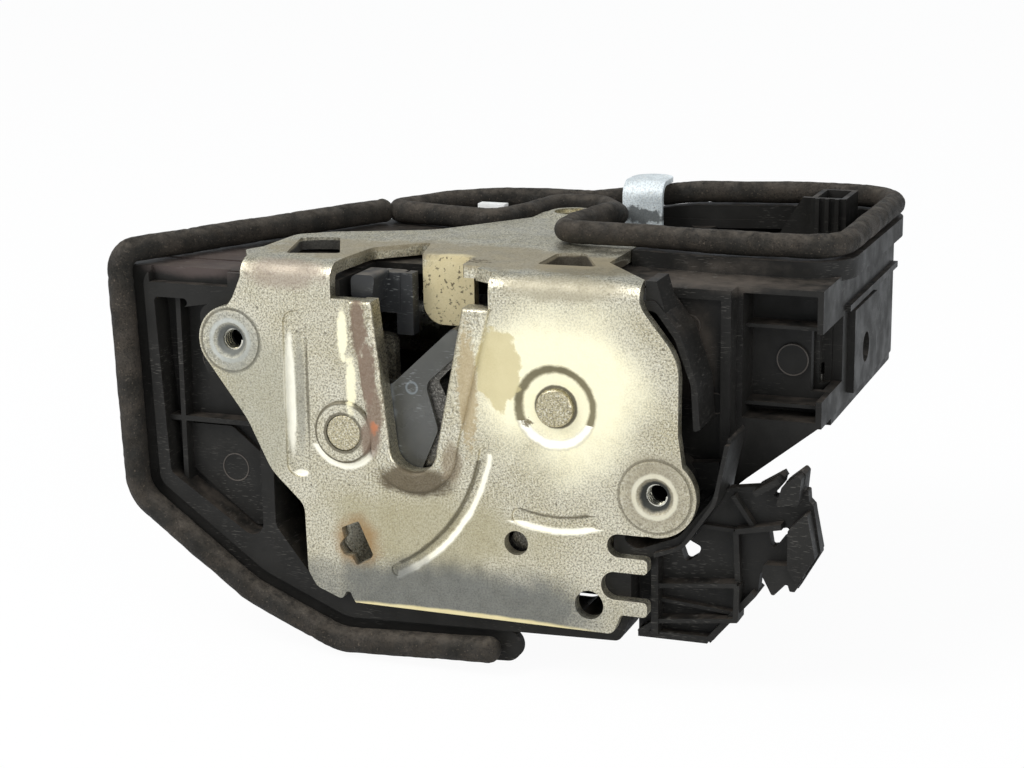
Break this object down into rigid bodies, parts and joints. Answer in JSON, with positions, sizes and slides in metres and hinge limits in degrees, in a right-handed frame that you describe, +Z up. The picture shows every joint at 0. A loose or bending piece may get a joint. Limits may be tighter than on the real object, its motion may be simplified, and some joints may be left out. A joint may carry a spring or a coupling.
{
  "type": "car door lock",
  "caption": "Car door lock: steel latch bracket with fishmouth, rotary catch and pawl, on a black plastic actuator housing with foam seals and a cable bracket.",
  "frame": {"origin": "the closed striker's seat at the bottom of the fishmouth, on the bracket's front face", "axes": "+X to the right across the bracket as seen from outside, +Y into the door, +Z up out of the mouth"},
  "size_m": [0.1671, 0.1118, 0.0983],
  "materials": {
    "zinc_steel": "zinc plated, speckled and worn",
    "bright_zinc": "bright zinc",
    "dark_steel": "oiled steel",
    "catch_plastic": "dark blue-grey moulded skin",
    "black_plastic": "black, dusty",
    "white_plastic": "natural white",
    "foam": "closed-cell foam, dusty",
    "bumper_rubber": "black rubber",
    "copper_alloy": "stamped contact strip",
    "motor_can": "plated motor can"
  },
  "bodies": {
    "lock": {"latch_plate": "zinc_steel", "back_plate": "zinc_steel", "catch_pin": "zinc_steel", "pawl_pin": "zinc_steel", "catch_spring": "dark_steel", "pawl_spring": "dark_steel", "release_pin": "dark_steel", "outside_pin": "dark_steel", "latch_case": "black_plastic", "bumper": "bumper_rubber", "cable_bracket": "black_plastic", "main_housing": "black_plastic", "housing_cover": "black_plastic", "cover_screw": "dark_steel", "retaining_clip": "dark_steel", "lock_motor": "motor_can", "worm_bearing": "black_plastic", "connector_socket": "black_plastic", "connector_pins": "copper_alloy", "steel_strap": "bright_zinc", "catch_switch": "black_plastic", "pawl_switch": "black_plastic", "contact_track": "copper_alloy", "edge_seal": "foam", "loop_seal": "foam"},
    "catch": {"catch": "dark_steel", "catch_skin_front": "catch_plastic", "catch_skin_back": "catch_plastic"},
    "pawl": {"pawl": "dark_steel"},
    "release": {"release_lever": "zinc_steel"},
    "outside": {"outside_lever": "zinc_steel"},
    "inside": {"inside_lever": "zinc_steel"},
    "gear": {"worm_wheel": "white_plastic"},
    "screw": {"worm": "dark_steel"},
    "rack": {"lock_slide": "white_plastic"}
  },
  "joints": [
    {"name": "catch_turn", "type": "hinge", "parent": "lock", "child": "catch", "pos_m": [-0.0175, 0.0072, 0.0038], "axis": [0, 1, 0], "range_deg": [0, 78], "stiffness_Nm_per_rad": 0.06, "springref_deg": -34.38},
    {"name": "pawl_turn", "type": "hinge", "parent": "lock", "child": "pawl", "pos_m": [0.0326, 0.0072, 0.0135], "axis": [0, -1, 0], "range_deg": [-4, 6], "stiffness_Nm_per_rad": 0.5},
    {"name": "release_turn", "type": "hinge", "parent": "lock", "child": "release", "pos_m": [0.0209, 0.0171, -0.023], "axis": [0, -1, 0], "range_deg": [-6, 4]},
    {"name": "outside_turn", "type": "hinge", "parent": "lock", "child": "outside", "pos_m": [-0.029, 0.0197, -0.009], "axis": [0, -1, 0], "range_deg": [-4, 6]},
    {"name": "inside_turn", "type": "hinge", "parent": "lock", "child": "inside", "pos_m": [0.052, 0.066, 0.0295], "axis": [0, 0, 1], "range_deg": [0, 35], "stiffness_Nm_per_rad": 0.02, "springref_deg": -28.65},
    {"name": "gear_turn", "type": "hinge", "parent": "lock", "child": "gear", "pos_m": [0.006, 0.0608, 0.022], "axis": [0, 0, 1], "range_deg": [0, 60]},
    {"name": "screw_spin", "type": "hinge", "parent": "lock", "child": "screw", "pos_m": [0.006, 0.043, 0.022], "axis": [1, 0, 0], "continuous": true},
    {"name": "rack_move", "type": "slide", "parent": "lock", "child": "rack", "axis": [-1, 0, 0], "range_m": [0, 0.0064]}
  ],
  "couplings": [
    {"joint": "release_turn", "follows": "pawl_turn", "ratio": -0.92077},
    {"joint": "outside_turn", "follows": "pawl_turn", "ratio": 0.92695},
    {"joint": "screw_spin", "follows": "gear_turn", "ratio": -36},
    {"joint": "rack_move", "follows": "gear_turn", "m_per_rad": 0.006}
  ]
}
